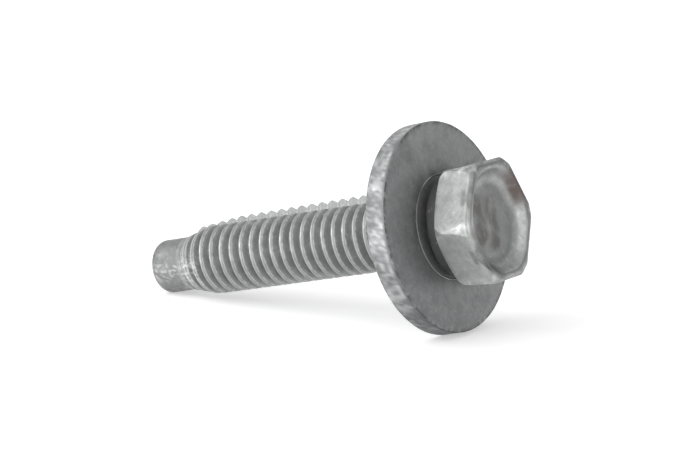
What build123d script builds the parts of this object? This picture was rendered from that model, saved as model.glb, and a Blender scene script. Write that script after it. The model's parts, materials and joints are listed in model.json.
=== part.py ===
"""Hex bolt with a captive flat washer and a dog point, 5/16-18 thread, lying on its side.

The bolt is one headed and thread-rolled piece; the washer is loose on the neck under the head.
Both pieces are drawn upright, with Z along the axis of the bolt, Z = 0 at the rear face of the
washer and the head above it. They are then laid down on the washer's rim and the bolt's point.
"""

import os
from math import ceil, cos, floor, radians, sin, sqrt, tan

from build123d import *

# ---- Thread: right-handed, 5/16 inch, 18 turns to the inch (millimetres and degrees) ----
major_diameter = 7.94
pitch = 1.411
flank_angle = 30.0  # of each flank, from the normal to the axis
start_angle = 231.3  # where the ridge starts, round the axis
root_depth = 0.65  # of the root below the crest, in pitches
lead_in = 3.6  # length over which the first turns rise to full height
runout = 0.7  # length over which the last turn fades
ridge_sink = 0.08  # of the ridge's foot below the core's surface
root_lead = 0.8  # length over which the core narrows from the point to the root

# ---- Shank ----
shank_length = 37.0  # from the rear face of the washer to the tip of the point
point_length = 4.2
point_diameter = 6.2
point_round = 1.1
neck_diameter = 6.9  # plain neck that carries the washer
neck_length = 1.0  # of plain neck behind the washer

# ---- Raised row: blunt teeth, one to a turn, along one side of the thread ----
row_angle = 68.2  # of the row's flat faces, round the axis
row_arc = 60.0  # how far round the axis the teeth reach
row_offset = 2.0  # eccentricity that fades the teeth out behind their flat faces
row_point_rise = 0.75  # of the teeth above the crests, at the point
row_head_rise = 1.15  # of the teeth above the crests, at the neck
row_lead_in = 6.5  # length over which the teeth grow to full height
row_first_share = 0.25  # of the full height, where the row starts
row_belly = 0.09  # bow of the row of tops
row_tooth_height = 0.50  # of the teeth above the gaps between them
tooth_top_width = 0.45

# ---- Head ----
across_flats = 12.7
hexagon_height = 4.9
hexagon_turn = 1.5  # of a flat of the hexagon, from straight up
underside_angle = 20.0
corner_taper = 2.5  # of the rounded corners, from the axis
rim_chamfer = 0.4
collar_diameter = 11.4
collar_height = 1.3
recess_across_flats = 11.1
recess_corner_radius = 4.2
recess_depth = 1.4
recess_taper = 25.0
recess_chamfer = 0.55  # between its wall and its floor

# ---- Washer ----
washer_diameter = 23.6
washer_thickness = 2.48
bore_clearance = 0.30  # all round, between the neck and the bore
washer_lean = 4.3  # of the loose washer on the neck
washer_lean_angle = 158.6  # which way it leans, round the axis
lean_clearance = 0.03  # between the leaning washer and the collar
seat_diameter = 11.7  # coined seat round the bore, in the front face
seat_depth = 0.10
blanking_chamfer = 0.12  # rolled-over edge of the stamping
rest_flat_depth = 0.17  # flat spot on the rim, where the washer stands on the ground

# ---- What follows from them ----
crest_radius = major_diameter / 2
root_radius = crest_radius - root_depth * pitch
point_radius = point_diameter / 2
neck_radius = neck_diameter / 2
bore_radius = neck_radius + bore_clearance
washer_radius = washer_diameter / 2
collar_radius = collar_diameter / 2
tip_z = -shank_length
thread_start_z = tip_z + point_length
thread_end_z = -neck_length
collar_z = washer_thickness + collar_radius * sin(radians(washer_lean)) + lean_clearance
hexagon_z = collar_z + collar_height
head_top_z = hexagon_z + hexagon_height
corner_radius = across_flats / 2 / cos(radians(30))


def round_axis(angle, z=0.0):
    """Half-plane through the bolt's axis: X points outward from it, Y along it."""
    outward = (cos(radians(angle)), sin(radians(angle)), 0)
    across = (sin(radians(angle)), -cos(radians(angle)), 0)
    return Plane(origin=(0, 0, z), x_dir=outward, z_dir=across)


# ---- Thread ridge: full turns in the middle, rising from the point and fading at the neck ----
foot_radius = root_radius - ridge_sink
foot_half = (crest_radius - foot_radius) * tan(radians(flank_angle))
ridge_start_z = thread_start_z - pitch
ridge_turns = ceil((thread_end_z - ridge_start_z) / pitch) + 1
rising_turns = ceil(lead_in / pitch) + 1
fading_turns = 2


def ridge(first_turn, last_turn):
    """One stretch of the thread's ridge, between two turns counted from the point."""
    start_z = ridge_start_z + first_turn * pitch
    with BuildPart() as stretch:
        with BuildLine(Plane.XY.offset(start_z).rotated((0, 0, start_angle))) as path:
            Helix(pitch=pitch, height=(last_turn - first_turn) * pitch, radius=root_radius)
        with BuildSketch(round_axis(start_angle, start_z)):
            with BuildLine():
                Polyline(
                    (foot_radius, -foot_half),
                    (crest_radius, 0),
                    (foot_radius, foot_half),
                    close=True,
                )
            make_face()
        sweep(path=path.line, is_frenet=True)
    return stretch.part


with BuildPart() as ridge_ends:
    add(ridge(0, rising_turns))
    add(ridge(ridge_turns - fading_turns, ridge_turns))
    with BuildSketch(round_axis(0)):
        with BuildLine():
            Polyline(
                (0, thread_start_z),
                (point_radius, thread_start_z),
                (crest_radius + ridge_sink, thread_start_z + lead_in),
                (crest_radius + ridge_sink, thread_end_z - runout),
                (root_radius, thread_end_z),
                (0, thread_end_z),
                close=True,
            )
        make_face()
    revolve(axis=Axis.Z, mode=Mode.INTERSECT)

# ---- Raised row: toothed outline turned part way round, cut to an eccentric cylinder ----
row_first_z = thread_start_z + pitch * ((row_angle - start_angle) % 360) / 360
tooth_count = floor((thread_end_z - row_first_z) / pitch)


def row_growth(z):
    """Share of its full height that the row has at a height."""
    share = (z - thread_start_z) / row_lead_in
    return min(1, row_first_share + (1 - row_first_share) * share)


def tooth_top(z):
    """Radius of the row's teeth at a height: it grows toward the head along a slight bow."""
    share = (z - thread_start_z) / (thread_end_z - thread_start_z)
    rise = row_point_rise + (row_head_rise - row_point_rise) * share
    return crest_radius + (rise + 4 * row_belly * share * (1 - share)) * row_growth(z)


def gap_floor(z):
    """Radius of the row's gaps at a height."""
    return tooth_top(z) - row_tooth_height * row_growth(z)


with BuildPart() as row:
    with BuildSketch(round_axis(row_angle)):
        for tooth in range(tooth_count):
            z = row_first_z + tooth * pitch
            top = tooth_top(z)
            with BuildLine():
                Polyline(
                    (root_radius, z - pitch / 2),
                    (gap_floor(z - pitch / 2), z - pitch / 2),
                    (top, z - tooth_top_width / 2),
                    (top, z + tooth_top_width / 2),
                    (gap_floor(z + pitch / 2), z + pitch / 2),
                    (root_radius, z + pitch / 2),
                    close=True,
                )
            make_face()
    revolve(axis=Axis.Z, revolution_arc=-row_arc)
    with BuildSketch(Plane.XY.offset(thread_start_z)):
        with Locations(round_axis(row_angle).x_dir * row_offset):
            Circle(crest_radius + row_head_rise + row_belly - row_offset)
    extrude(amount=thread_end_z - thread_start_z, mode=Mode.INTERSECT)

# ---- Bolt ----
underside_z = hexagon_z + (corner_radius - collar_radius) * tan(radians(underside_angle))
corner_top_radius = corner_radius - (head_top_z - underside_z) * tan(radians(corner_taper))
with BuildPart() as head:
    with BuildSketch(Plane.XY.offset(hexagon_z)):
        RegularPolygon(across_flats / 2, 6, major_radius=False, rotation=90 - hexagon_turn)
    extrude(amount=hexagon_height)
    with BuildSketch(round_axis(0)):
        with BuildLine():
            Polyline(
                (0, hexagon_z),
                (collar_radius, hexagon_z),
                (corner_radius, underside_z),
                (corner_top_radius, head_top_z),
                (0, head_top_z),
                close=True,
            )
        make_face()
    revolve(axis=Axis.Z, mode=Mode.INTERSECT)
    chamfer(head.faces().sort_by(Axis.Z)[-1].edges(), length=rim_chamfer)
    with BuildSketch(Plane.XY.offset(head_top_z)) as recess:
        RegularPolygon(recess_across_flats / 2, 6, major_radius=False, rotation=90 - hexagon_turn)
        fillet(recess.vertices(), radius=recess_corner_radius)
    extrude(amount=-recess_depth, taper=recess_taper, mode=Mode.SUBTRACT)
    recess_floor = head.faces().filter_by(Plane.XY).sort_by(Axis.Z)[-2]
    chamfer(recess_floor.edges(), length=recess_chamfer)

round_inset = point_round * (1 - sin(radians(45)))
with BuildPart() as bolt:
    with BuildSketch(round_axis(0)):
        with BuildLine():
            Polyline(
                (0, tip_z),
                (point_radius - point_round, tip_z),
                (point_radius - round_inset, tip_z + round_inset),
                (point_radius, tip_z + point_round),
                (point_radius, thread_start_z),
                (root_radius, thread_start_z + root_lead),
                (root_radius, thread_end_z),
                (neck_radius, thread_end_z),
                (neck_radius, collar_z),
                (collar_radius, collar_z),
                (collar_radius, hexagon_z),
                (0, hexagon_z),
                close=True,
            )
        make_face()
    revolve(axis=Axis.Z)
    full_turns = [ridge(turn, turn + 1) for turn in range(rising_turns, ridge_turns - fading_turns)]
    add([head.part, *full_turns, ridge_ends.part, row.part])

# ---- How it lies: on the washer's rear rim and on the rounded edge of the point ----
lean_dir = round_axis(washer_lean_angle).x_dir
washer_plane = Plane(
    origin=(0, 0, 0),
    x_dir=round_axis(washer_lean_angle).z_dir,
    z_dir=Vector(0, 0, cos(radians(washer_lean))) + lean_dir * sin(radians(washer_lean)),
)
point_reach = shank_length - point_round  # from Z = 0 down to where the point's side ends


def ground_direction(lean):
    """Upright direction of the ground, seen from the bolt, when its axis leans so."""
    return Vector(0, cos(radians(lean)), sin(radians(lean)))


def rim_drop(lean):
    """How far the washer's rim reaches below the middle of its rear face."""
    along = washer_plane.z_dir.dot(ground_direction(lean))
    return washer_radius * sqrt(1 - along**2) - blanking_chamfer * along - rest_flat_depth


def point_drop(lean):
    """How far the point reaches below the middle of the washer's rear face."""
    return point_reach * sin(radians(lean)) + point_radius * cos(radians(lean))


lean, lean_step = 0.0, 30.0  # of the bolt's axis, from level
while lean_step > 1e-7:
    if rim_drop(lean + lean_step) > point_drop(lean + lean_step):
        lean += lean_step
    lean_step /= 2

# ---- Washer, leaning on the neck ----
with BuildPart() as washer:
    with BuildSketch(washer_plane):
        Circle(washer_radius)
        Circle(bore_radius, mode=Mode.SUBTRACT)
    extrude(amount=washer_thickness)
    outer_edges = washer.edges().filter_by(GeomType.CIRCLE).sort_by(SortBy.RADIUS)[-2:]
    chamfer(outer_edges, length=blanking_chamfer)
    with BuildSketch(washer_plane.offset(washer_thickness)):
        Circle(seat_diameter / 2)
    extrude(amount=-seat_depth, mode=Mode.SUBTRACT)
    up = ground_direction(lean)
    with BuildSketch(Plane(origin=up * -rim_drop(lean), x_dir=(1, 0, 0), z_dir=up)):
        Rectangle(washer_diameter, washer_diameter)
    extrude(amount=-washer_thickness, mode=Mode.SUBTRACT)

# ---- Laid down ----
lying = Plane(
    origin=(0, 0, 0), x_dir=(0, 1, 0), z_dir=(cos(radians(lean)), 0, sin(radians(lean)))
).location
bolt_laid = bolt.part.moved(lying)
washer_laid = washer.part.moved(lying)
box = Compound([bolt_laid, washer_laid]).bounding_box()
rest = Location((-box.center().X, -box.center().Y, rim_drop(lean)))
bolt_laid = bolt_laid.moved(rest)
washer_laid = washer_laid.moved(rest)
bolt_laid.label = "bolt"
washer_laid.label = "washer"

os.makedirs("parts", exist_ok=True)
export_step(bolt_laid, "parts/bolt.step")
export_step(washer_laid, "parts/washer.step")

rear_centre = (rest * lying).position
print("lean", round(lean, 4), "degrees")
print("middle of the washer's rear face", [round(v, 4) for v in rear_centre])
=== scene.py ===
"""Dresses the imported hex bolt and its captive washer, lying on a pale studio floor.

The bolt is one forged and thread-rolled piece in dull zinc; the washer is a stamped disc that is
loose on the neck. Both are drawn along the bolt's axis, with zero at the rear face of the washer,
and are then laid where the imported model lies.
"""

import json
import logging
from dataclasses import dataclass
from enum import Enum
from math import acos, atan2, ceil, cos, degrees, pi, radians, sin, tan
from typing import Optional, Sequence, Union

import bmesh
import bpy
import numpy as np
from mathutils import Matrix, Vector, noise

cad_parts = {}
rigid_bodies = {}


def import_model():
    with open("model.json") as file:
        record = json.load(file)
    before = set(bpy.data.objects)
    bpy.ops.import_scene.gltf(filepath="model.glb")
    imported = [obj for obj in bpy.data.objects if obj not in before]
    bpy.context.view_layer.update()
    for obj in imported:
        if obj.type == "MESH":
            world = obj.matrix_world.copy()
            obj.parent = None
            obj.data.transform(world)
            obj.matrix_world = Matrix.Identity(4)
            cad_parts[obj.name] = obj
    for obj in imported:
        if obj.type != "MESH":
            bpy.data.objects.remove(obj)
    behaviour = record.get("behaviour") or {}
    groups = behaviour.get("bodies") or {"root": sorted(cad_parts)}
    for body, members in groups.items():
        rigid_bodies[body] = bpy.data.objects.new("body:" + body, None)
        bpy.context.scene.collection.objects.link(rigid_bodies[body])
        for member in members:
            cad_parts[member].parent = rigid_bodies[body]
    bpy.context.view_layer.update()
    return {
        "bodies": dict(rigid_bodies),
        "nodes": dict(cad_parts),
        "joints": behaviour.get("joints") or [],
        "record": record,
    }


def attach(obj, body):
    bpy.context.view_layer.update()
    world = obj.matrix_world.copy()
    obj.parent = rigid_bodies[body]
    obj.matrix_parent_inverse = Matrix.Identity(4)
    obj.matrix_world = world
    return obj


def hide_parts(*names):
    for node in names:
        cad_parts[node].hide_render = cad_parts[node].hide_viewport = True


LOG = logging.getLogger("hex_bolt")
MM = 0.001
WELD = 2e-7  # metres within which two points are one
SHARP_EDGE = radians(24)

Colour = tuple[float, float, float]


# ---- node helpers


class Term:
    """A value in a node tree, which goes into sums as a plain number does."""

    def __init__(self, bench: "NodeBench", socket: bpy.types.NodeSocket) -> None:
        """Keeps the output socket and the bench that adds the nodes of its sums."""
        self.bench = bench
        self.socket = socket

    def __add__(self, other: "Number") -> "Term":
        """Adds the two."""
        return self.bench.math("ADD", self, other)

    def __mul__(self, other: "Number") -> "Term":
        """Multiplies the two."""
        return self.bench.math("MULTIPLY", self, other)

    def __sub__(self, other: "Number") -> "Term":
        """Takes the other from this one."""
        return self.bench.math("SUBTRACT", self, other)

    def __rsub__(self, other: "Number") -> "Term":
        """Takes this one from the other."""
        return self.bench.math("SUBTRACT", other, self)

    def __truediv__(self, other: "Number") -> "Term":
        """Divides this one by the other."""
        return self.bench.math("DIVIDE", self, other)

    def __lt__(self, other: "Number") -> "Term":
        """Gives 1 where this one is less, and 0 elsewhere."""
        return self.bench.math("LESS_THAN", self, other)

    def __gt__(self, other: "Number") -> "Term":
        """Gives 1 where this one is greater, and 0 elsewhere."""
        return self.bench.math("GREATER_THAN", self, other)

    def held(self, low: "Number" = 0, high: "Number" = 1) -> "Term":
        """Holds this one between two limits."""
        above = self.bench.math("MAXIMUM", self, low)
        return self.bench.math("MINIMUM", above, high)


Number = Union[float, Term]


class NodeBench:
    """Adds nodes to one tree and joins their sockets."""

    def __init__(self, tree: bpy.types.NodeTree) -> None:
        """Keeps the tree that the nodes go into."""
        self.tree = tree

    @classmethod
    def cleared(cls, owner: Union[bpy.types.Material, bpy.types.World]) -> "NodeBench":
        """Gives a material or a world an empty tree and returns a bench on it."""
        owner.use_nodes = True
        owner.node_tree.nodes.clear()
        return cls(owner.node_tree)

    def node(self, kind: str, **settings: object) -> bpy.types.Node:
        """Adds a node.

        Args:
            kind: Blender's name for the type of node.
            settings: properties of the node, set as they are given.

        Returns:
            The new node.
        """
        made = self.tree.nodes.new(kind)
        for name, value in settings.items():
            setattr(made, name, value)
        return made

    def put(self, value: object, socket: bpy.types.NodeSocket) -> None:
        """Joins a value to an input, or writes a constant on it.

        Args:
            value: a term, an output socket or a constant.
            socket: the input that takes it.
        """
        if isinstance(value, Term):
            value = value.socket
        if isinstance(value, bpy.types.NodeSocket):
            self.tree.links.new(value, socket)
        else:
            socket.default_value = value

    def outputs(self, node: bpy.types.Node) -> dict[str, Term]:
        """Returns a node's outputs as terms, by their names."""
        return {socket.name: Term(self, socket) for socket in node.outputs}

    def read(self, attribute: str) -> Term:
        """Reads one of the values that a mesh keeps at its points."""
        made = self.node("ShaderNodeAttribute", attribute_name=attribute)
        return Term(self, made.outputs["Fac"])

    def math(self, operation: str, *terms: Number) -> Term:
        """Adds a Math node.

        Args:
            operation: name of the sum, such as ADD or POWER.
            terms: its values, in order.

        Returns:
            The result.
        """
        made = self.node("ShaderNodeMath", operation=operation)
        for term, socket in zip(terms, made.inputs):
            self.put(term, socket)
        return Term(self, made.outputs[0])

    def ramp(self, value: Number, low: float, high: float) -> Term:
        """Rises smoothly from 0 at the low value to 1 at the high one."""
        made = self.node("ShaderNodeMapRange", interpolation_type="SMOOTHSTEP")
        self.put(value, made.inputs["Value"])
        self.put(low, made.inputs["From Min"])
        self.put(high, made.inputs["From Max"])
        return Term(self, made.outputs["Result"])

    def mix(self, share: Number, first: object, second: object) -> Term:
        """Mixes two colours, each a term or the parts of a colour."""
        made = self.node("ShaderNodeMix", data_type="RGBA")
        for value, place in ((share, 0), (first, 6), (second, 7)):
            self.put(value, made.inputs[place])
        return Term(self, made.outputs[2])


def rgba(colour: Colour) -> tuple[float, float, float, float]:
    """Gives a colour its full opacity."""
    return (*colour, 1.0)


def shown(made: bpy.types.Object) -> bpy.types.Object:
    """Links an object into the scene and returns it."""
    bpy.context.scene.collection.objects.link(made)
    return made


# ---- where the bolt lies


@dataclass(frozen=True)
class Lie:
    """The bolt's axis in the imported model: its own X level across it, Y up from it, Z along it."""

    origin: Vector
    axis: Vector

    @classmethod
    def from_frame(cls, frame: dict) -> "Lie":
        """Reads the axis from the washer's joint.


        Returns:
            The place of the middle of the washer's rear face, and the axis toward the head.
        """
        joint = next(j for j in frame["joints"] if j["name"] == "washer_spin")
        return cls(Vector(joint["pos_m"]), Vector(joint["axis"]).normalized())

    def matrix(self) -> Matrix:
        """Returns the matrix from the bolt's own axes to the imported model's."""
        across = Vector((0, 1, 0))
        upward = self.axis.cross(across)
        turn = Matrix((across, upward, self.axis)).transposed()
        return Matrix.Translation(self.origin) @ turn.to_4x4()


# ---- finishes


@dataclass(frozen=True)
class ZincFinish:
    """Dull zinc on steel: mottled grey with light flecks, dark smudges and bright worn edges, with
    painted highlights and painted shade laid on through the same marks.
    """

    name: str
    light: Colour
    dark: Colour
    brightening: Colour
    grime_and_shade: Colour
    brown: Colour = (0.20, 0.150, 0.130)
    mottle_scale: float = 420.0
    fleck_scale: float = 2600.0
    fleck_share: float = 0.30
    smudge_share: float = 0.40
    roughness: float = 0.43
    mottle_gloss: float = -0.10
    smudge_dullness: float = 0.15
    wear_gloss: float = -0.08
    specular: float = 0.5
    metallic: float = 0.60
    bump: float = 0.25
    bump_depth: float = 0.05 * MM

    def build(self) -> bpy.types.Material:
        """Builds the material.

        Returns:
            The material, with its nodes.
        """
        material = bpy.data.materials.new(self.name)
        material.use_nodes = True
        bench = NodeBench(material.node_tree)
        shader = material.node_tree.nodes["Principled BSDF"]
        group = bench.node("ShaderNodeGroup", node_tree=zinc_skin())
        bench.put(bench.node("ShaderNodeTexCoord").outputs["Object"], group.inputs["Place"])
        bench.put(self.mottle_scale, group.inputs["Mottle Scale"])
        bench.put(self.fleck_scale, group.inputs["Fleck Scale"])
        skin = bench.outputs(group)
        # the soil mark holds painted shade as well as dirt, and the wear mark holds painted highlights
        # as well as wear
        wear_and_highlight, soil_and_shade = bench.read("wear_and_highlight"), bench.read("soil_and_shade")
        darkening = bench.math("MAXIMUM", skin["Smudge"] * self.smudge_share, soil_and_shade)
        brightening = bench.math("MAXIMUM", skin["Fleck"] * self.fleck_share, wear_and_highlight)
        colour = bench.mix(skin["Mottle"], rgba(self.dark), rgba(self.light))
        colour = bench.mix(darkening, colour, rgba(self.grime_and_shade))
        colour = bench.mix(bench.read("stain"), colour, rgba(self.brown))
        bench.put(bench.mix(brightening, colour, rgba(self.brightening)), shader.inputs["Base Color"])
        rough = skin["Mottle"] * self.mottle_gloss + self.roughness
        rough = wear_and_highlight * self.wear_gloss + (darkening * self.smudge_dullness + rough)
        bench.put(rough, shader.inputs["Roughness"])
        bench.put((1 - soil_and_shade) * self.specular, shader.inputs["Specular IOR Level"])
        shader.inputs["Metallic"].default_value = self.metallic
        bump = bench.node("ShaderNodeBump")
        bump.inputs["Strength"].default_value = self.bump
        bump.inputs["Distance"].default_value = self.bump_depth
        bench.put(skin["Height"], bump.inputs["Height"])
        bench.put(bump.outputs["Normal"], shader.inputs["Normal"])
        return material


def zinc_skin() -> bpy.types.NodeTree:
    """Builds the shared group for a zinc skin once.

    Returns:
        The group: masks of mottling, smudges and flecks, and the height of its grain.
    """
    known = bpy.data.node_groups.get("zinc_skin")
    if known:
        return known
    group = bpy.data.node_groups.new("zinc_skin", "ShaderNodeTree")
    face = group.interface
    face.new_socket("Place", in_out="INPUT", socket_type="NodeSocketVector")
    for name in ("Mottle Scale", "Fleck Scale"):
        face.new_socket(name, in_out="INPUT", socket_type="NodeSocketFloat")
    for name in ("Mottle", "Smudge", "Fleck", "Height"):
        face.new_socket(name, in_out="OUTPUT", socket_type="NodeSocketFloat")
    bench = NodeBench(group)
    given = bench.outputs(bench.node("NodeGroupInput"))
    out = bench.node("NodeGroupOutput").inputs

    def grain(scale: Number, detail: float, roughness: float) -> Term:
        """Adds one noise over the place and returns its value."""
        made = bench.node("ShaderNodeTexNoise")
        bench.put(given["Place"], made.inputs["Vector"])
        bench.put(scale, made.inputs["Scale"])
        made.inputs["Detail"].default_value = detail
        made.inputs["Roughness"].default_value = roughness
        return Term(bench, made.outputs["Fac"])

    coarse = grain(given["Mottle Scale"], 5.0, 0.62)
    broad = grain(given["Mottle Scale"] * 0.37, 3.0, 0.55)
    fine = grain(given["Fleck Scale"], 3.0, 0.6)
    bench.put(bench.ramp(fine * 0.35 + coarse * 0.65, 0.36, 0.64), out["Mottle"])
    bench.put(bench.ramp(broad, 0.52, 0.70), out["Smudge"])
    bench.put(bench.ramp(fine, 0.56, 0.66) * bench.ramp(coarse, 0.50, 0.62), out["Fleck"])
    bench.put(coarse * 0.8 + fine * 0.5, out["Height"])
    return group


SHANK_ZINC = ZincFinish(
    name="zinc_shank",
    light=(0.40, 0.41, 0.405),
    dark=(0.31, 0.32, 0.315),
    brightening=(0.74, 0.75, 0.74),
    grime_and_shade=(0.10, 0.10, 0.10),
    mottle_scale=700.0,
    smudge_share=0.12,
    fleck_share=0.25,
)
HEAD_ZINC = ZincFinish(
    name="zinc_head",
    light=(0.56, 0.565, 0.565),
    dark=(0.44, 0.445, 0.445),
    brightening=(0.84, 0.84, 0.83),
    grime_and_shade=(0.035, 0.036, 0.038),
    brown=(0.105, 0.082, 0.078),
    mottle_scale=900.0,
    smudge_share=0.10,
)
WASHER_ZINC = ZincFinish(
    name="zinc_washer",
    light=(0.49, 0.495, 0.50),
    dark=(0.37, 0.375, 0.38),
    brightening=(0.68, 0.685, 0.69),
    grime_and_shade=(0.07, 0.072, 0.075),
    mottle_scale=800.0,
    smudge_share=0.22,
    fleck_share=0.22,
)


# ---- rings of points


class Rings:
    """A skin of closed rings with the same number of points, with a pole at either end."""

    def __init__(self, count: int) -> None:
        """Keeps the number of points in a ring."""
        self.count = count
        self.points: list[np.ndarray] = []
        self.faces: list[tuple[int, ...]] = []
        self.size = 0
        self.last: Optional[int] = None

    def add(self, ring: np.ndarray) -> None:
        """Adds a ring of points, or one point for a pole, and joins it to the one before.

        Args:
            ring: the points, in metres in the bolt's own axes.
        """
        start, n, last = self.size, self.count, self.last
        self.points.append(ring)
        self.size += len(ring)
        if last is not None:
            before = self.size - len(ring) - last
            for i in range(n):
                j = (i + 1) % n
                if before == 1:
                    self.faces.append((last, start + i, start + j))
                elif len(ring) == 1:
                    self.faces.append((last + i, start, last + j))
                else:
                    self.faces.append((last + i, start + i, start + j, last + j))
        self.last = start

    def stack(self) -> np.ndarray:
        """Returns all the points as one array."""
        return np.concatenate(self.points)


def lay(skin: bmesh.types.BMesh, points: np.ndarray, faces: list, slot: int = 0) -> None:
    """Adds points and faces to a skin.

    Args:
        skin: the skin so far.
        points: the new points.
        faces: the places of each face's corners among them.
        slot: the material slot of the new faces.
    """
    verts = [skin.verts.new(p) for p in points]
    for corners in faces:
        skin.faces.new([verts[i] for i in corners]).material_index = slot


def roughen(skin: bmesh.types.BMesh, height: float, coarse: float, fine: float) -> None:
    """Presses a closed skin in unevenly, as zinc lies on it.

    Args:
        skin: the skin, in its piece's own axes.
        height: how far it is pressed in at most, about.
        coarse: broad lumps to a metre, about.
        fine: fine lumps to a metre, about.
    """
    bmesh.ops.recalc_face_normals(skin, faces=skin.faces)
    skin.normal_update()
    for vert in skin.verts:
        lump = noise.noise(vert.co * coarse) * 0.6 + noise.noise(vert.co * fine) * 0.4
        vert.co -= vert.normal * height * (0.5 + 0.5 * lump)


def circle(radius: float, z: float, angles: np.ndarray) -> np.ndarray:
    """Gives points round the axis.

    Args:
        radius: their distance from the axis.
        z: their place along it.
        angles: their angles, in radians.

    Returns:
        One row of coordinates for each angle.
    """
    return np.stack([radius * np.cos(angles), radius * np.sin(angles), np.full_like(angles, z)], 1)


def arc(centre: tuple[float, float], radius: float, start: float, end: float, steps: int) -> list:
    """Gives points of an arc in a section through the axis.

    Args:
        centre: its distance from the axis and place along it.
        radius: the arc's radius.
        start: angle of its first point, in degrees, from straight outward.
        end: angle of its last point.
        steps: number of stretches between them.

    Returns:
        Pairs of distance from the axis and place along it.
    """
    turns = [radians(start + (end - start) * i / steps) for i in range(steps + 1)]
    return [(centre[0] + radius * cos(t), centre[1] + radius * sin(t)) for t in turns]


# ---- marks


class Mark(Enum):
    """What a mesh keeps at its points for its finish to show."""

    # WEAR_AND_HIGHLIGHT also carries painted highlights, and SOIL_AND_SHADE also carries painted shade
    WEAR_AND_HIGHLIGHT = "wear_and_highlight"
    SOIL_AND_SHADE = "soil_and_shade"
    STAIN = "stain"


@dataclass(frozen=True)
class Sector:
    """Part of a turn round an axis: its middle and half its width, in degrees."""

    middle: float
    half: float


@dataclass(frozen=True)
class Smudge:
    """A soft oval of dirt on the floor of the dish, in millimetres from its middle."""

    across: float
    up: float
    wide: float
    tall: float
    strength: float


DISH_SMUDGES = (
    Smudge(-2.5, 2.0, 0.9, 1.5, 0.75),
    Smudge(-2.2, -1.0, 1.3, 1.2, 0.85),
    Smudge(0.6, -0.4, 0.75, 1.9, 0.80),
    Smudge(-0.3, 1.7, 0.9, 0.9, 0.60),
    Smudge(0.2, -2.3, 1.1, 0.8, 0.80),
)


class Marks:
    """Wear and painted highlights, soil and painted shade, and stain at each point of a mesh, and what
    they are worked out from.
    """

    def __init__(self, mesh: bpy.types.Mesh, speck_scale: float, patch_scale: float) -> None:
        """Reads the points of a mesh that is still in its piece's own axes.

        Args:
            mesh: the mesh.
            speck_scale: fine lumps of noise to a metre, about.
            patch_scale: broad lumps to a metre, about.
        """
        co = np.empty(len(mesh.vertices) * 3, np.float32)
        mesh.vertices.foreach_get("co", co)
        self.mesh = mesh
        self.co = co.reshape(-1, 3).astype(float)
        self.x, self.y, self.z = self.co.T
        self.radius = np.hypot(self.x, self.y)
        self.angle = np.degrees(np.arctan2(self.y, self.x))
        self.specks = self.cloud(speck_scale)
        self.patches = self.cloud(patch_scale)
        self.shares = {mark: np.zeros(len(self.co)) for mark in Mark}

    def cloud(self, scale: float, draw: float = 1.0) -> np.ndarray:
        """Returns smooth noise at each point, about -0.7 to 0.7.

        Args:
            scale: how many lumps there are to a metre, about.
            draw: how many of them there are along the axis, as a share of that.
        """
        return np.array([noise.noise(Vector(p)) for p in self.co * (1.0, 1.0, draw) * scale])

    def facing(self, sector: Sector) -> np.ndarray:
        """Returns how well each point lies in a sector, as 1 in its middle and 0 from its ends on."""
        away = np.abs((self.angle - sector.middle + 180) % 360 - 180)
        share = np.clip(1 - away / sector.half, 0, 1)
        return share * share * (3 - 2 * share)

    def add(self, mark: Mark, share: np.ndarray) -> None:
        """Lays a mark over what is there, and keeps the greater share at each point."""
        self.shares[mark] = np.maximum(self.shares[mark], share)

    def swap(self, mark: Mark, where: np.ndarray, share: Union[float, np.ndarray]) -> None:
        """Puts a share in place of what is there, at some of the points."""
        self.shares[mark] = np.where(where, share, self.shares[mark])

    def store(self) -> None:
        """Writes each mark to the mesh as an attribute."""
        for mark, share in self.shares.items():
            attribute = self.mesh.attributes.new(mark.value, "FLOAT", "POINT")
            attribute.data.foreach_set("value", np.clip(share, 0, 1).astype(np.float32))


def band(value: np.ndarray, low: float, high: float, soft: float) -> np.ndarray:
    """Returns 1 between two values and 0 outside them, with soft ends."""
    return np.clip((value - low) / soft, 0, 1) * np.clip((high - value) / soft, 0, 1)


# ---- the bolt


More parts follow.
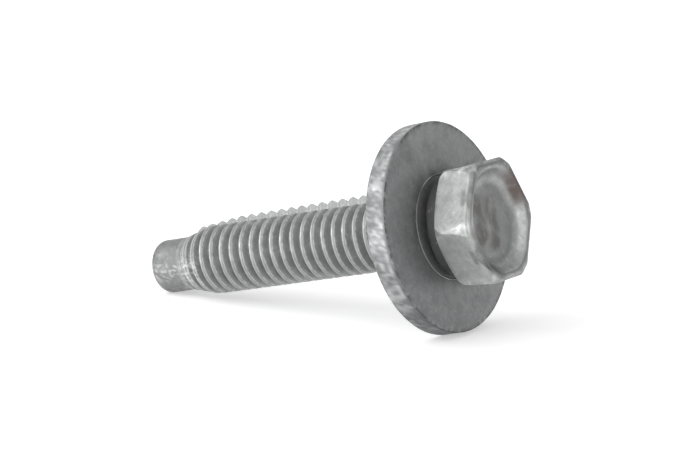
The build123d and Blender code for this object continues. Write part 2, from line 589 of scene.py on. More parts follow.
@dataclass
class Bolt:
    """The forged bolt: dog point, rolled thread with its raised row, neck, collar and hexagon."""

    lie: Lie
    columns: int = 144
    # thread
    crest_radius: float = 3.97 * MM
    pitch: float = 1.411 * MM
    root_depth: float = 0.6134 * 1.411 * MM
    start_angle: float = 231.3
    start_z: float = -32.8 * MM
    end_z: float = -1.0 * MM
    lead_in: float = 3.6 * MM
    runout: float = 0.7 * MM
    crest_share: float = 0.30
    crest_shift: float = 0.10
    root_share: float = 0.15
    crest_seam: float = 0.05 * MM
    lines: int = 20
    # point and neck
    tip_z: float = -36.97 * MM
    point_radius: float = 3.1 * MM
    point_round: float = 1.1 * MM
    neck_radius: float = 3.45 * MM
    # raised row
    row_angle: float = 68.2
    row_arc: float = 60.0
    row_offset: float = 2.0 * MM
    row_point_rise: float = 0.75 * MM
    row_head_rise: float = 1.15 * MM
    row_belly: float = 0.09 * MM
    row_lead_in: float = 6.5 * MM
    row_tooth_height: float = 0.50 * MM
    row_shift: float = 0.25
    row_first_share: float = 0.20
    row_onset: float = 1.5 * MM
    row_start_gap: float = 0.1 * MM
    row_end_gap: float = 0.35 * MM
    row_bluntness: float = 1.75
    # head
    flat_distance: float = 6.35 * MM
    hexagon_turn: float = 1.5
    collar_z: float = 2.9374 * MM
    collar_radius: float = 5.7 * MM
    collar_height: float = 1.3 * MM
    hexagon_height: float = 4.9 * MM
    underside_angle: float = 20.0
    corner_cut: float = 0.02 * MM
    base_cut: float = 0.30 * MM
    base_cut_height: float = 0.8 * MM
    rim_cut: float = 0.12 * MM
    rim_cut_height: float = 1.3 * MM
    rim_flare: float = 0.28 * MM
    rim_round: float = 0.52 * MM
    recess_flat: float = 5.95 * MM
    recess_corner: float = 4.8 * MM
    recess_depth: float = 1.35 * MM
    corner_steps: int = 4
    noise_height: float = 0.012 * MM
    # marks
    speck_scale: float = 2600.0
    patch_scale: float = 900.0
    crest_shade: float = 0.24
    scuff_scale: float = 3200.0
    scuff_draw: float = 0.35
    scuff_strength: float = 0.85
    scuffed_side: Sector = Sector(186.0, 48.0)
    collar_shade: float = 0.96
    stained_rim: Sector = Sector(160.0, 22.0)
    worn_rim: Sector = Sector(165.0, 38.0)
    upper_face_darkening: float = 0.75
    shaded_walls: tuple = ((Sector(180.0, 95.0), 0.55), (Sector(232.0, 42.0), 0.95))
    brown_wall: Sector = Sector(30.0, 40.0)
    highlit_wall: Sector = Sector(-26.0, 46.0)
    point_dullness: float = 0.38
    scuffed_point: Sector = Sector(185.0, 40.0)

    @property
    def hexagon_z(self) -> float:
        """Place of the middle of the hexagon's underside."""
        return self.collar_z + self.collar_height

    @property
    def top_z(self) -> float:
        """Place of the head's rim."""
        return self.hexagon_z + self.hexagon_height

    @property
    def root_radius(self) -> float:
        """Radius of the bottom of the thread."""
        return self.crest_radius - self.root_depth

    def angles(self) -> np.ndarray:
        """Returns the angles of the columns, in radians, from the row's flat faces round."""
        return radians(self.row_angle) + 2 * pi * np.arange(self.columns) / self.columns

    def thread_inputs(self) -> dict[str, Union[int, float]]:
        """Returns the thread's sizes and counts, by the names of its tree's inputs."""
        names = (
            *("Crest Radius", "Root Radius", "Pitch", "Crest Share", "Root Share", "Crest Seam"),
            *("Start Z", "End Z", "Point Radius", "Lead In", "Runout", "Row Offset"),
            *("Row Point Rise", "Row Head Rise", "Row Belly", "Row Lead In", "Row First Share"),
            *("Row Onset", "Row Shift", "Row Tooth Height", "Row Bluntness", "Columns", "Lines"),
        )
        values = {name: getattr(self, name.lower().replace(" ", "_")) for name in names}
        values["Base Z"] = self.base_z()
        values["Row Angle"] = radians(self.row_angle)
        values["Row Arc"] = self.row_arc / 360
        values["Turns"] = self.turns()
        return values

    def thread_tree(self) -> bpy.types.NodeTree:
        """Builds the Geometry Nodes tree of the rolled thread.

        Returns:
            The tree: a grid wound round the axis, its lines along the helix.
        """
        tree = bpy.data.node_groups.new("rolled_thread", "GeometryNodeTree")
        face = tree.interface
        face.new_socket("Geometry", in_out="INPUT", socket_type="NodeSocketGeometry")
        for name, value in self.thread_inputs().items():
            kind = "NodeSocketInt" if isinstance(value, int) else "NodeSocketFloat"
            face.new_socket(name, in_out="INPUT", socket_type=kind)
        face.new_socket("Material", in_out="INPUT", socket_type="NodeSocketMaterial")
        face.new_socket("Geometry", in_out="OUTPUT", socket_type="NodeSocketGeometry")
        bench = NodeBench(tree)
        given = bench.outputs(bench.node("NodeGroupInput"))
        math = bench.math

        grid = bench.node("GeometryNodeMeshGrid")
        grid.inputs["Size X"].default_value = 1
        grid.inputs["Size Y"].default_value = 1
        rows = given["Turns"] * given["Lines"]
        bench.put(given["Columns"] + 2, grid.inputs["Vertices X"])
        bench.put(rows + 1, grid.inputs["Vertices Y"])
        parts = bench.node("ShaderNodeSeparateXYZ")
        bench.put(bench.node("GeometryNodeInputPosition").outputs[0], parts.inputs[0])
        spot = bench.outputs(parts)
        column = math("ROUND", (spot["X"] + 0.5) * (given["Columns"] + 1))
        line = math("ROUND", (spot["Y"] + 0.5) * rows)
        turn = math("MINIMUM", column / given["Columns"], 1)
        angle = turn * (2 * pi) + given["Row Angle"]
        lap = line / given["Lines"] + turn
        along = lap * given["Pitch"] + given["Base Z"]
        along = along.held(given["Start Z"], given["End Z"])
        from_start = along - given["Start Z"]

        # distance from the crest, in pitches, and the plain thread's radius
        phase = math("FRACT", line / given["Lines"] + 0.0001)
        away = math("MINIMUM", phase, 1 - phase)
        half = given["Crest Share"] * 0.5
        flank = 0.5 - (given["Crest Share"] + given["Root Share"]) * 0.5
        depth = given["Crest Radius"] - given["Root Radius"]
        radius = given["Crest Radius"] - ((away - half) / flank).held() * depth
        radius = radius - (1 - (away / half).held()) * given["Crest Seam"]

        # the ends of the thread rise and fade
        rise = given["Crest Radius"] - given["Point Radius"]
        limit = (from_start / given["Lead In"]).held() * rise + given["Point Radius"]
        left = (given["End Z"] - along) / given["Runout"]
        fade = left.held() * depth + given["Root Radius"]
        radius = math("MINIMUM", math("MINIMUM", radius, limit), fade)

        # the raised row: its height along the bolt
        share = from_start / (given["End Z"] - given["Start Z"])
        top = share * (given["Row Head Rise"] - given["Row Point Rise"])
        top = share * (1 - share) * 4 * given["Row Belly"] + (top + given["Row Point Rise"])
        grown = (from_start / given["Row Lead In"]).held()
        grown = grown * (1 - given["Row First Share"]) + given["Row First Share"]
        # its arches
        beside = math("FRACT", phase + 1 - given["Row Shift"])
        beside = math("MINIMUM", beside, 1 - beside)
        arch = 1 - math("POWER", beside * 2, given["Row Bluntness"])
        lift = top * grown + (arch - 1) * (given["Row Tooth Height"] * grown)
        tooth = given["Crest Radius"] + lift
        # its round back, and its start at the point
        behind = (1 - turn) * (2 * pi)
        reach = given["Crest Radius"] + given["Row Head Rise"] + given["Row Belly"]
        reach = reach - given["Row Offset"]
        side = given["Row Offset"] * math("SINE", behind)
        chord = math("SQRT", reach * reach - side * side)
        back = given["Row Offset"] * math("COSINE", behind) + chord
        tooth = math("MINIMUM", tooth, back)
        onset = ((from_start - self.row_start_gap) / given["Row Onset"]).held()
        onset = onset * (2 - onset)
        tooth = onset * (tooth - given["Point Radius"]) + given["Point Radius"]
        # where it stands
        near = (turn > 1 - given["Row Arc"]) * (column < given["Columns"] + 0.5)
        inside = along > given["Start Z"] + self.row_start_gap
        ends = along < given["End Z"] - self.row_end_gap
        radius = math("MAXIMUM", radius, tooth * (near * (inside * ends)))

        place = bench.node("ShaderNodeCombineXYZ")
        bench.put(radius * math("COSINE", angle), place.inputs["X"])
        bench.put(radius * math("SINE", angle), place.inputs["Y"])
        bench.put(along, place.inputs["Z"])
        wind = bench.node("GeometryNodeSetPosition")
        weld = bench.node("GeometryNodeMergeByDistance")
        solid = bench.node("GeometryNodeRealizeInstances")
        dress = bench.node("GeometryNodeSetMaterial")
        end = bench.node("NodeGroupOutput")
        bench.put(place.outputs[0], wind.inputs["Position"])
        weld.inputs["Distance"].default_value = WELD
        bench.put(given["Material"], dress.inputs["Material"])
        for first, second in ((grid, wind), (wind, weld), (weld, solid), (solid, dress), (dress, end)):
            bench.put(first.outputs[0], second.inputs[0])
        return tree

    def base_z(self) -> float:
        """Place of the first line at the first column, on a crest, a turn or more before the thread."""
        crest = self.start_z - self.pitch
        crest += self.pitch * ((self.row_angle - self.start_angle) / 360 + self.crest_shift)
        return crest - self.pitch * ceil((crest + self.pitch - self.start_z) / self.pitch)

    def turns(self) -> int:
        """Number of turns that the grid is wound."""
        return ceil((self.end_z - self.base_z()) / self.pitch) + 1

    def thread_mesh(self, material: bpy.types.Material) -> bpy.types.Mesh:
        """Winds the thread and returns it as a plain mesh.

        Args:
            material: its finish.

        Returns:
            A mesh in the bolt's own axes, open at both ends.
        """
        tree = self.thread_tree()
        blank = bpy.data.meshes.new("thread_holder")
        holder = shown(bpy.data.objects.new("thread_holder", blank))
        modifier = holder.modifiers.new("thread", "NODES")
        modifier.node_group = tree
        values = {**self.thread_inputs(), "Material": material}
        for item in tree.interface.items_tree:
            if item.in_out == "INPUT" and item.name in values:
                modifier[item.identifier] = values[item.name]
        wound = holder.evaluated_get(bpy.context.evaluated_depsgraph_get())
        mesh = bpy.data.meshes.new_from_object(wound)
        holder.modifiers.remove(modifier)
        bpy.data.objects.remove(holder)
        return mesh

    def point_rings(self) -> Rings:
        """Returns the dog point, from the middle of its end to the start of the thread."""
        rings = Rings(self.columns)
        angles = self.angles()
        rings.add(np.array([(0.0, 0.0, self.tip_z)]))
        flat = self.point_radius - self.point_round
        for share in (0.25, 0.5, 0.75):
            rings.add(circle(flat * share, self.tip_z, angles))
        middle = (flat, self.tip_z + self.point_round)
        for radius, z in arc(middle, self.point_round, -90, 0, 10):
            rings.add(circle(radius, z, angles))
        side = self.start_z - middle[1]
        for step in range(1, 13):
            rings.add(circle(self.point_radius, middle[1] + side * step / 12, angles))
        return rings

    def outline(self, inset: float, cone: float) -> tuple[np.ndarray, np.ndarray]:
        """Gives a ring of the hexagon's side, with columns on its creases.

        Args:
            inset: distance inward from the flats.
            cone: radius of the cone that rounds the corners.

        Returns:
            The angle and the radius of each column.
        """
        flat = self.flat_distance - inset
        crease = 30 - degrees(acos(min(1.0, flat / cone))) if cone > flat else 30.0
        crease = max(crease, 0.9)
        per_side = self.columns // 6
        flat_steps = per_side - 2 * self.corner_steps
        offsets: list[float] = []
        for step in range(per_side):
            if step < self.corner_steps:
                offsets.append(crease * step / self.corner_steps)
            elif step < self.corner_steps + flat_steps:
                share = (step - self.corner_steps) / flat_steps
                offsets.append(crease + (60 - 2 * crease) * share)
            else:
                share = (step - self.corner_steps - flat_steps) / self.corner_steps
                offsets.append(60 - crease + crease * share)
        first = self.first_corner()
        turned = np.array([first + 60 * s + o for s in range(6) for o in offsets])
        round_side = np.array(offsets * 6)
        from_flat = 30 - np.minimum(round_side, 60 - round_side)
        edge = flat / cos(radians(30 - crease))
        radius = np.minimum(flat / np.cos(np.radians(from_flat)), min(edge, cone))
        return np.radians(turned), radius

    def first_corner(self) -> float:
        """Angle of the corner next after the row, in degrees."""
        corner = 90 - self.hexagon_turn + 30
        while corner - 60 >= self.row_angle:
            corner -= 60
        return corner

    def head_rings(self) -> Rings:
        """Returns the neck, collar, hexagon and its dished top, from the thread's end on."""
        rings = Rings(self.columns)
        even = self.angles()
        hexagon_z = self.hexagon_z
        neck = [
            (self.root_radius, self.end_z),
            (self.neck_radius - 0.1 * MM, self.end_z),
            (self.neck_radius, self.end_z + 0.1 * MM),
            (self.neck_radius, self.collar_z * 0.5),
            (self.neck_radius, self.collar_z - 0.2 * MM),
            (self.neck_radius + 0.2 * MM, self.collar_z),
            (self.collar_radius - 0.25 * MM, self.collar_z),
            *arc((self.collar_radius - 0.25 * MM, self.collar_z + 0.25 * MM), 0.25 * MM, -90, 0, 4)[1:],
            (self.collar_radius, self.collar_z + self.collar_height * 0.6),
            (self.collar_radius, hexagon_z - 0.15 * MM),
        ]
        for radius, z in neck:
            rings.add(circle(radius, z, even))
        corner = self.flat_distance / cos(radians(30))
        slope = tan(radians(self.underside_angle))
        start = self.first_corner()
        shift = radians(start) + 2 * pi * np.arange(self.columns) / self.columns
        rings.add(circle(self.collar_radius + 0.12 * MM, hexagon_z, (even + shift) / 2))

        def side(inset: float, cone: float, z: Union[float, np.ndarray]) -> None:
            """Adds one ring of the hexagon."""
            turned, radius = self.outline(inset, cone)
            z_all = np.broadcast_to(z, radius.shape)
            rings.add(np.stack([radius * np.cos(turned), radius * np.sin(turned), z_all], 1))

        # underside: a cone out to where it meets the flats
        turned, radius = self.outline(0.0, corner - self.corner_cut - self.base_cut)
        half_way = (self.collar_radius + radius) / 2
        for reach, lift in ((half_way, 0.0), (radius - 0.10 * MM, 0.0), (radius, 0.08 * MM)):
            ring_z = hexagon_z + (reach - self.collar_radius) * slope + lift
            rings.add(np.stack([reach * np.cos(turned), reach * np.sin(turned), ring_z], 1))

        underside_z = hexagon_z + (corner - self.collar_radius) * slope
        steps = 14
        low_z = underside_z + 0.15 * MM
        high_z = self.top_z - self.rim_round
        for step in range(steps + 1):
            share = step / steps
            z = low_z + (high_z - low_z) * share
            near_base = max(0.0, 1 - (z - underside_z) / self.base_cut_height)
            near_rim = max(0.0, 1 - (high_z - z) / self.rim_cut_height)
            cut = self.corner_cut + self.base_cut * near_base**2 + self.rim_cut * near_rim**2
            side(-self.rim_flare * share**1.4, corner - cut, z)
        for turn in (15, 30, 45, 60, 75, 90):
            inset = self.rim_round * (1 - cos(radians(turn)))
            z = self.top_z - self.rim_round * (1 - sin(radians(turn)))
            side(inset - self.rim_flare, corner - cut - inset, z)
        self.recess(rings)
        return rings

    def recess_outline(self, inset: float) -> tuple[np.ndarray, np.ndarray]:
        """Gives a ring of the rounded hexagonal recess.

        Args:
            inset: distance inward from its edge.

        Returns:
            The angle and the radius of each column.
        """
        first = self.first_corner()
        turned = np.radians(first + 360 * np.arange(self.columns) / self.columns)
        from_corner = (np.degrees(turned) - first + 30) % 60 - 30
        flat, round_ = self.recess_flat - inset, max(self.recess_corner - inset, 0.2 * MM)
        middle = (flat - round_) / cos(radians(30))
        limit = 30 - degrees(atan2(middle * 0.5, flat))
        bend = np.radians(from_corner)
        curved = middle * np.cos(bend) + np.sqrt(np.maximum(round_**2 - (middle * np.sin(bend)) ** 2, 0))
        straight = flat / np.cos(np.radians(30 - np.abs(from_corner)))
        return turned, np.where(np.abs(from_corner) < limit, curved, straight)

    def recess(self, rings: Rings) -> None:
        """Adds the dished top inside the rim.

        Args:
            rings: the head so far.
        """
        top_z, depth = self.top_z, self.recess_depth
        # distance inward in millimetres, and share of the depth
        steps = [
            (0.00, 0.000),
            (0.10, 0.018),
            (0.22, 0.065),
            (0.34, 0.150),
            (0.46, 0.270),
            (0.60, 0.420),
            (0.74, 0.565),
            (0.90, 0.700),
            (1.08, 0.810),
            (1.30, 0.900),
            (1.55, 0.960),
            *((1.85 + 0.32 * step, 0.995 + 0.015 * sin(pi * step / 12)) for step in range(13)),
        ]
        for inset, share in steps:
            turned, radius = self.recess_outline(inset * MM)
            z = np.full_like(radius, top_z - depth * share)
            rings.add(np.stack([radius * np.cos(turned), radius * np.sin(turned), z], 1))
        rings.add(np.array([(0.0, 0.0, top_z - depth * 0.99)]))

    def mesh(self, shank: bpy.types.Material, head: bpy.types.Material) -> bpy.types.Mesh:
        """Joins point, thread and head into one closed skin.

        Args:
            shank: finish of the point and thread.
            head: finish of the collar and hexagon.

        Returns:
            The mesh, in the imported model's axes.
        """
        skin = bmesh.new()
        thread = self.thread_mesh(shank)
        skin.from_mesh(thread)
        bpy.data.meshes.remove(thread)
        for slot, rings in enumerate((self.point_rings(), self.head_rings())):
            lay(skin, rings.stack(), rings.faces, slot)
        bmesh.ops.remove_doubles(skin, verts=skin.verts, dist=WELD * 3)
        bmesh.ops.dissolve_degenerate(skin, edges=skin.edges, dist=WELD * 3)
        open_edges = sum(1 for e in skin.edges if len(e.link_faces) != 2)
        LOG.info("bolt skin: %d faces, %d open edges", len(skin.faces), open_edges)
        roughen(skin, self.noise_height, 900, 2500)
        mesh = bpy.data.meshes.new("bolt_forging")
        skin.to_mesh(mesh)
        skin.free()
        mesh.materials.clear()
        mesh.materials.append(shank)
        mesh.materials.append(head)
        self.mark(mesh)
        mesh.transform(self.lie.matrix())
        return mesh

    def mark(self, mesh: bpy.types.Mesh) -> None:
        """Stores where the skin is worn bright and where it is soiled, and where highlights and shade
        are painted on it.

        Args:
            mesh: the bolt's mesh, in its own axes.
        """
        marks = Marks(mesh, self.speck_scale, self.patch_scale)
        self.mark_thread(marks)
        self.mark_head(marks)
        self.mark_dish(marks)
        self.mark_point(marks)
        marks.store()

    def mark_thread(self, marks: Marks) -> None:
        """Paints a highlight along both edges of the thread's crest, partly real edge wear, and painted
        shade on the crest between; brightens its scuffed start.

        Args:
            marks: the marks of the bolt.
        """
        turn = (marks.angle - self.row_angle) % 360 / 360
        phase = (marks.z - self.base_z()) / self.pitch - turn
        phase = (phase + 0.5) % 1 - 0.5
        low = marks.radius < self.crest_radius + 0.02 * MM
        on_thread = (marks.z > self.start_z + 0.3 * MM) & (marks.z < self.end_z - 0.2 * MM) & low
        half, line = self.crest_share / 2, 1 / self.lines
        # painted highlights along both edges of the crest, partly real edge wear
        point_side = np.clip(1 - np.abs(phase + half) / line, 0, 1)
        head_side = np.clip(1 - np.abs(phase - half) / line, 0, 1)
        head_side *= np.clip(0.65 + 1.6 * marks.specks, 0.1, 0.9)
        marks.add(Mark.WEAR_AND_HIGHLIGHT, np.maximum(point_side, head_side) * on_thread)
        # painted shade on the crest flat between the painted highlights
        crest = np.clip(1 - np.abs(phase) / half, 0, 1)
        marks.add(Mark.SOIL_AND_SHADE, self.crest_shade * crest * on_thread)
        scuffs = np.clip((marks.cloud(self.scuff_scale, self.scuff_draw) - 0.02) * 5, 0, 1)
        along = band(marks.z, self.start_z - 0.2 * MM, self.start_z + self.lead_in, 1.2 * MM)
        scuffs = scuffs * along * marks.facing(self.scuffed_side)
        marks.add(Mark.WEAR_AND_HIGHLIGHT, self.scuff_strength * scuffs * low)

    def mark_head(self, marks: Marks) -> None:
        """Paints shade on the collar under the hexagon, rubs the hexagon's corners bright, marks its rim
        and darkens its upward face.

        Args:
            marks: the marks of the bolt.
        """
        # painted shade on the collar, where the hexagon overhangs it
        collar = band(marks.z, self.collar_z - 0.3 * MM, self.collar_z + 1.75 * MM, 0.25 * MM)
        marks.add(Mark.SOIL_AND_SHADE, self.collar_shade * collar * (marks.radius < 7.2 * MM))
        side = (marks.z > self.hexagon_z + 0.5 * MM) & ~self.in_dish(marks)
        corner = np.abs((marks.angle - self.first_corner() + 30) % 60 - 30)
        rubbed = np.clip(1 - (corner - 2.0) / 5.0, 0, 1) * side
        marks.add(Mark.WEAR_AND_HIGHLIGHT, rubbed * np.clip(0.30 + 0.8 * marks.specks, 0, 1))
        rim = band(marks.z, self.top_z - 0.35 * MM, self.top_z + 0.1 * MM, 0.12 * MM)
        rim = rim * (0.8 + marks.patches)
        marks.add(Mark.STAIN, 0.14 * rim * marks.facing(self.stained_rim))
        marks.add(Mark.WEAR_AND_HIGHLIGHT, 0.55 * rim * marks.facing(self.worn_rim))
        # darkens the hexagon's upward face
        upper = marks.facing(Sector(self.first_corner() - 30.0, 45.0)) * side
        upper = upper * (marks.radius > 6.0 * MM) * np.clip(1.0 + marks.patches, 0, 1)
        marks.add(Mark.SOIL_AND_SHADE, self.upper_face_darkening * upper)

    def in_dish(self, marks: Marks) -> np.ndarray:
        """Returns which points lie inside the rim, in the dish."""
        return (marks.radius < self.recess_flat + 0.7 * MM) & (marks.z > self.top_z - 1.6 * MM)

    def mark_dish(self, marks: Marks) -> None:
        """Paints shade on the dish's near wall and smudges its floor, tints one stretch of the wall
        brown and paints a highlight on another.

        Args:
            marks: the marks of the bolt.
        """
        dish = self.in_dish(marks)
        depth = (self.top_z - marks.z) / self.recess_depth
        wall = band(depth, -0.03, 0.92, 0.05) * dish
        # painted shade along the near wall of the dish, where the rim hides it
        for sector, share in self.shaded_walls:
            marks.add(Mark.SOIL_AND_SHADE, share * wall * marks.facing(sector))
        for darkening in DISH_SMUDGES:
            across = (marks.x - darkening.across * MM) / (darkening.wide * MM)
            up = (marks.y - darkening.up * MM) / (darkening.tall * MM)
            spot = np.clip(1.5 - np.hypot(across, up) + 0.9 * marks.patches, 0, 1)
            spot = darkening.strength * spot * dish * (depth > 0.8)
            marks.add(Mark.STAIN, 0.28 * spot)
            marks.add(Mark.SOIL_AND_SHADE, 0.72 * spot)
        tint = marks.facing(self.brown_wall) * band(depth, -0.25, 0.80, 0.25)
        tint = tint * (marks.z > self.top_z - 1.6 * MM) * np.clip(1.0 + marks.patches, 0, 1)
        marks.add(Mark.STAIN, 0.62 * tint)
        marks.add(Mark.SOIL_AND_SHADE, 0.88 * tint)
        # painted highlight on the far wall of the dish
        wall_highlight = marks.facing(self.highlit_wall) * dish * band(depth, 0.03, 0.75, 0.15)
        marks.add(Mark.WEAR_AND_HIGHLIGHT, wall_highlight * np.clip(0.95 + 1.3 * marks.specks, 0, 1))

    def mark_point(self, marks: Marks) -> None:
        """Dulls the dog point, with specks of dirt on it and a scuffed patch.

        Args:
            marks: the marks of the bolt.
        """
        point = marks.z < self.start_z - 0.1 * MM
        dirt = np.clip((marks.specks + 0.5 * marks.patches - 0.22) * 4, 0, 0.55)
        marks.add(Mark.SOIL_AND_SHADE, point * np.maximum(self.point_dullness, dirt))
        scuffs = np.clip((marks.specks - 0.12) * 5, 0, 0.5) * marks.facing(self.scuffed_point)
        marks.add(Mark.WEAR_AND_HIGHLIGHT, point * scuffs)


# ---- the washer


@dataclass
class Washer:
    """The stamped flat washer, which leans on the neck, with a coined seat round its bore."""

    lie: Lie
    columns: int = 240
    radius: float = 11.8 * MM
    bore_radius: float = 3.75 * MM
    thickness: float = 2.48 * MM
    lean: float = 4.3
    lean_angle: float = 158.6
    seat_radius: float = 5.85 * MM
    seat_depth: float = 0.10 * MM
    rim_round: float = 0.14 * MM
    noise_height: float = 0.02 * MM
    # marks
    speck_scale: float = 2200.0
    patch_scale: float = 700.0
    cloud_scale: float = 300.0
    rim_underside_dimmed: Sector = Sector(250.0, 75.0)
    rim_underside_shaded: Sector = Sector(255.0, 85.0)
    seat_highlight: Sector = Sector(185.0, 75.0)
    shaded_face: Sector = Sector(215.0, 125.0)

    def section(self) -> list[tuple[float, float]]:
        """Returns the washer's section, closed, as distances from its axis and along it."""
        r, t, e = self.radius, self.thickness, self.rim_round
        seat = t - self.seat_depth
        points = [(self.bore_radius + 0.15 * MM, 0.0)]
        points += [(self.bore_radius + (r - self.bore_radius) * s, 0.0) for s in (0.25, 0.5, 0.75, 0.9)]
        points += arc((r - 0.12 * MM, 0.12 * MM), 0.12 * MM, -90, 0, 4)
        points += [(r, t * s) for s in (0.2, 0.4, 0.6, 0.8)]
        points += arc((r - e, t - e), e, 0, 90, 5)
        reach = r - e - self.seat_radius
        points += [(self.seat_radius + reach * s / 12, t) for s in range(11, 0, -1)]
        points += [
            (self.seat_radius + 0.14 * MM, t),
            (self.seat_radius + 0.07 * MM, t + 0.035 * MM),
            (self.seat_radius, t + 0.045 * MM),
            (self.seat_radius - 0.06 * MM, t),
            (self.seat_radius - 0.14 * MM, seat),
            (self.seat_radius - 0.7 * MM, seat),
            ((self.seat_radius + self.bore_radius) / 2, seat),
            (self.bore_radius + 0.15 * MM, seat),
            (self.bore_radius, seat - 0.15 * MM),
            (self.bore_radius, seat * 0.5),
            (self.bore_radius, 0.15 * MM),
        ]
        return points

    def matrix(self) -> Matrix:
        """Returns the matrix from the washer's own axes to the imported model's."""
        toward = Vector((cos(radians(self.lean_angle)), sin(radians(self.lean_angle)), 0))
        axis = Vector((0, 0, cos(radians(self.lean)))) + toward * sin(radians(self.lean))
        turn = Vector((0, 0, 1)).rotation_difference(axis).to_matrix().to_4x4()
        return self.lie.matrix() @ turn

    def mesh(self, finish: bpy.types.Material) -> bpy.types.Mesh:
        """Turns the section into the washer's closed skin.

        Args:
            finish: its material.

        Returns:
            The mesh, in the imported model's axes.
        """
        angles = 2 * pi * np.arange(self.columns) / self.columns
        section = self.section()
        points = np.concatenate([circle(r, z, angles) for r, z in section])
        n, m = self.columns, len(section)
        faces = [
            (j * n + i, j * n + (i + 1) % n, (j + 1) % m * n + (i + 1) % n, (j + 1) % m * n + i)
            for j in range(m)
            for i in range(n)
        ]
        skin = bmesh.new()
        lay(skin, points, faces)
        roughen(skin, self.noise_height, 500, 1600)
        mesh = bpy.data.meshes.new("captive_washer")
        skin.to_mesh(mesh)
        skin.free()
        mesh.materials.append(finish)
        self.mark(mesh)
        mesh.transform(self.matrix())
        for vert in mesh.vertices:
            vert.co.z = max(vert.co.z, 0.0)
        return mesh

    def mark(self, mesh: bpy.types.Mesh) -> None:
        """Stores where the washer is worn bright and where it is soiled, and where highlights and shade
        are painted on it.

        Args:
            mesh: the washer's mesh, in its own axes.
        """
        marks = Marks(mesh, self.speck_scale, self.patch_scale)
        radius, specks, patches = marks.radius, marks.specks, marks.patches
        front = marks.z > self.thickness - 0.16 * MM
        # the rim: mottled, with painted shade on its lower side, and a burr along its front
        rim = np.clip((radius - (self.radius - 0.10 * MM)) / (0.06 * MM), 0, 1)
        brightening = rim * np.clip(0.28 + 0.6 * patches + 0.8 * specks, 0.05, 0.9)
        # painted shade: less brightening on the rim's lower side
        marks.add(Mark.WEAR_AND_HIGHLIGHT, brightening * (1 - 0.72 * marks.facing(self.rim_underside_dimmed)))
        marks.add(Mark.SOIL_AND_SHADE, rim * np.clip((specks + patches - 0.55) * 3, 0, 0.6))
        # painted shade: more darkness on the rim's lower side
        marks.add(Mark.SOIL_AND_SHADE, rim * (0.60 + 0.28 * marks.facing(self.rim_underside_shaded)))
        burr = band(radius, self.radius - 0.16 * MM, self.radius - 0.02 * MM, 0.03 * MM)
        marks.add(Mark.SOIL_AND_SHADE, burr * front * np.clip(0.65 + 2.2 * specks, 0.15, 0.95))
        # a painted highlight along the edge of the seat, on its near side
        edge = (np.abs(radius - self.seat_radius - 0.035 * MM) < 0.05 * MM) & front
        marks.add(Mark.WEAR_AND_HIGHLIGHT, edge * np.clip(0.9 + 0.6 * specks, 0, 1) * marks.facing(self.seat_highlight))
        marks.swap(Mark.WEAR_AND_HIGHLIGHT, front & (radius > self.radius - 0.17 * MM), 0.0)
        # the front face: grime and painted contact shade round the head, broad clouds of dirt, and
        # painted shade over one side
        inner = np.clip((7.6 * MM - radius) / (1.9 * MM), 0, 1) * np.clip(0.75 + 0.9 * patches, 0, 1)
        marks.add(Mark.SOIL_AND_SHADE, 0.72 * inner * front)
        clouds = np.clip((marks.cloud(self.cloud_scale) + 0.4 * patches - 0.18) * 3, 0, 1)
        marks.add(Mark.SOIL_AND_SHADE, 0.28 * clouds * front)
        # painted shade over one side of the front face
        marks.add(Mark.SOIL_AND_SHADE, 0.40 * marks.facing(self.shaded_face) * front)
        # painted shade in the recessed seat, deepening toward the bore
        inside = (radius < self.seat_radius - 0.05 * MM) & front
        marks.swap(Mark.SOIL_AND_SHADE, inside, 0.30 * np.clip((self.seat_radius - radius) / (0.8 * MM), 0, 1))
        marks.store()


# ---- studio


class Tone(Enum):
    """Strengths of the studio's light, as radiance of the sky in each direction."""

    TOWARD = 1.10
    AWAY = 0.45


@dataclass(frozen=True)
class Softbox:
    """A square soft light: where it hangs from the bolt and its side in metres, its power in watts."""

    name: str
    place: tuple[float, float, float]
    size: float
    power: float


SOFTBOXES = (
    Softbox("key", (-0.26, -0.63, 0.05), 0.22, 1.15),
    Softbox("overhead", (-0.43, -0.27, 0.46), 0.45, 1.0),
    Softbox("side", (0.52, -0.34, 0.09), 0.20, 0.30),
    Softbox("dish", (-0.20, -0.50, 0.40), 0.16, 0.50),
)


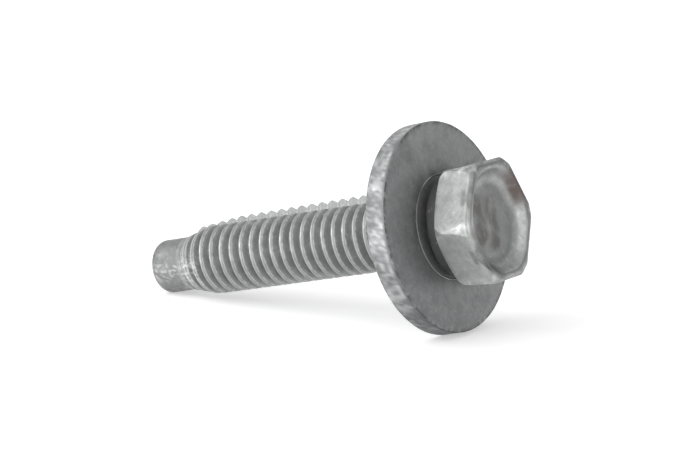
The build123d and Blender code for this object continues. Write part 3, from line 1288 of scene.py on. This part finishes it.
@dataclass
class Studio:
    """A pale floor, a white surround, soft light and the camera."""

    lie: Lie
    camera_offset: tuple[float, float, float] = (149.621, -264.587, 63.542)
    forward: tuple[float, float, float] = (-0.5063567, 0.8373235, -0.2061367)
    lens: float = 144.0
    sensor: float = 36.0
    floor_size: float = 6.0
    floor_grey: float = 0.86
    floor_glow: float = 0.42
    sky_fade: tuple[float, float] = (-0.6, 0.95)
    brightest: tuple[float, float, float] = (-0.55, -0.55, 0.63)

    def camera(self) -> None:
        """Places the camera and makes it the scene's."""
        lens = bpy.data.cameras.new("camera")
        lens.lens = self.lens
        lens.sensor_width = self.sensor
        lens.clip_start = 0.01
        lens.clip_end = 50
        camera = shown(bpy.data.objects.new("camera", lens))
        camera.location = self.lie.origin + Vector(self.camera_offset) * MM
        camera.rotation_euler = Vector(self.forward).to_track_quat("-Z", "Y").to_euler()
        bpy.context.scene.camera = camera

    @staticmethod
    def seen(bench: NodeBench) -> Term:
        """Returns a mask that is 1 for what the camera, metal and glass look at."""
        path = bench.outputs(bench.node("ShaderNodeLightPath"))
        both = bench.math("MAXIMUM", path["Is Camera Ray"], path["Is Glossy Ray"])
        return bench.math("MAXIMUM", both, path["Is Transmission Ray"])

    def world(self) -> None:
        """Builds a white surround, and a softer sky that lights the matt share of things."""
        world = bpy.data.worlds.new("studio")
        bpy.context.scene.world = world
        bench = NodeBench.cleared(world)
        way = bench.node("ShaderNodeVectorMath", operation="DOT_PRODUCT")
        bench.put(bench.node("ShaderNodeTexCoord").outputs["Generated"], way.inputs[0])
        way.inputs[1].default_value = Vector(self.brightest).normalized()
        toward = bench.ramp(way.outputs["Value"], *self.sky_fade)
        strength = bench.node("ShaderNodeMix", data_type="FLOAT")
        bench.put(toward, strength.inputs[0])
        strength.inputs[2].default_value = Tone.AWAY.value
        strength.inputs[3].default_value = Tone.TOWARD.value
        light = bench.node("ShaderNodeBackground")
        bench.put(strength.outputs[0], light.inputs["Strength"])
        white = bench.node("ShaderNodeBackground")
        blend = bench.node("ShaderNodeMixShader")
        bench.put(self.seen(bench), blend.inputs[0])
        bench.put(light.outputs[0], blend.inputs[1])
        bench.put(white.outputs[0], blend.inputs[2])
        bench.put(blend.outputs[0], bench.node("ShaderNodeOutputWorld").inputs[0])

    def floor(self) -> None:
        """Lays the floor, white where it is looked at and with the object's shadow on it."""
        floor = self.sheet("floor", self.floor_size, self.floor_size)
        material = bpy.data.materials.new("floor_white")
        bench = NodeBench.cleared(material)
        paint = bench.node("ShaderNodeBsdfDiffuse")
        paint.inputs["Color"].default_value = rgba((self.floor_grey,) * 3)
        glow = bench.node("ShaderNodeEmission")
        bench.put(self.seen(bench) * self.floor_glow, glow.inputs["Strength"])
        both = bench.node("ShaderNodeAddShader")
        bench.put(paint.outputs[0], both.inputs[0])
        bench.put(glow.outputs[0], both.inputs[1])
        bench.put(both.outputs[0], bench.node("ShaderNodeOutputMaterial").inputs[0])
        floor.data.materials.append(material)

    @staticmethod
    def sheet(name: str, width: float, height: float) -> bpy.types.Object:
        """Adds a flat rectangle to the stage.

        Args:
            name: what it is called.
            width: its size along X.
            height: its size along Y.

        Returns:
            The rectangle, level and at the origin.
        """
        x, y = width / 2, height / 2
        mesh = bpy.data.meshes.new(name)
        mesh.from_pydata([(-x, -y, 0), (x, -y, 0), (x, y, 0), (-x, y, 0)], [], [(0, 1, 2, 3)])
        made = shown(bpy.data.objects.new(name, mesh))
        return made

    def card(self, name: str, place: Sequence[float], size: Sequence[float], grey: float) -> None:
        """Stands a card beside the set, which only metal sees in its reflections.

        Args:
            name: what it is called.
            place: where its middle stands from the bolt, in metres.
            size: its width and height.
            grey: its brightness.
        """
        made = self.sheet(name, *size)
        made.location = self.lie.origin + Vector(place)
        made.rotation_euler = Vector(place).to_track_quat("Z", "Y").to_euler()
        material = bpy.data.materials.new(name)
        bench = NodeBench.cleared(material)
        glow = bench.node("ShaderNodeEmission")
        glow.inputs["Strength"].default_value = grey
        bench.put(glow.outputs[0], bench.node("ShaderNodeOutputMaterial").inputs[0])
        made.data.materials.append(material)
        made.visible_camera = made.visible_diffuse = made.visible_shadow = False

    def softbox(self, box: Softbox) -> None:
        """Hangs a soft light that looks at the bolt."""
        lamp = bpy.data.lights.new(box.name, "AREA")
        lamp.shape = "SQUARE"
        lamp.size = box.size
        lamp.energy = box.power
        hung = shown(bpy.data.objects.new(box.name, lamp))
        hung.location = self.lie.origin + Vector(box.place)
        aim = self.lie.origin - hung.location
        hung.rotation_euler = aim.to_track_quat("-Z", "Y").to_euler()

    def build(self) -> None:
        """Builds the whole studio."""
        self.camera()
        self.world()
        self.floor()
        for box in SOFTBOXES:
            self.softbox(box)
        self.card("dark_right", (0.55, 0.75, 0.10), (0.9, 0.7), 0.22)
        bpy.context.scene.view_settings.view_transform = "Standard"


# ---- everything in order


def piece(name: str, mesh: bpy.types.Mesh, body: str) -> bpy.types.Object:
    """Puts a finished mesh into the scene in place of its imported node.

    Args:
        name: name of the new piece.
        mesh: its mesh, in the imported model's axes.
        body: the body that it rides on, which is also the node that it replaces.

    Returns:
        The new object.
    """
    made = shown(bpy.data.objects.new(name, mesh))
    mesh.shade_smooth()
    mesh.set_sharp_from_angle(angle=SHARP_EDGE)
    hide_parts(body)
    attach(made, body)
    LOG.info("%s: %d faces on %s", name, len(mesh.polygons), body)
    return made


def main() -> None:
    """Builds the studio, the bolt and the washer."""
    logging.basicConfig(level=logging.INFO, format="%(name)s %(message)s")
    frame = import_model()
    lie = Lie.from_frame(frame)
    Studio(lie).build()
    bolt = Bolt(lie)
    washer = Washer(lie)
    piece("bolt_forging", bolt.mesh(SHANK_ZINC.build(), HEAD_ZINC.build()), "bolt")
    piece("captive_washer", washer.mesh(WASHER_ZINC.build()), "washer")
    for node in frame["nodes"].values():
        node.data.materials.clear()
        node.data.materials.append(bpy.data.materials["zinc_washer"])


if __name__ == "__main__":
    main()
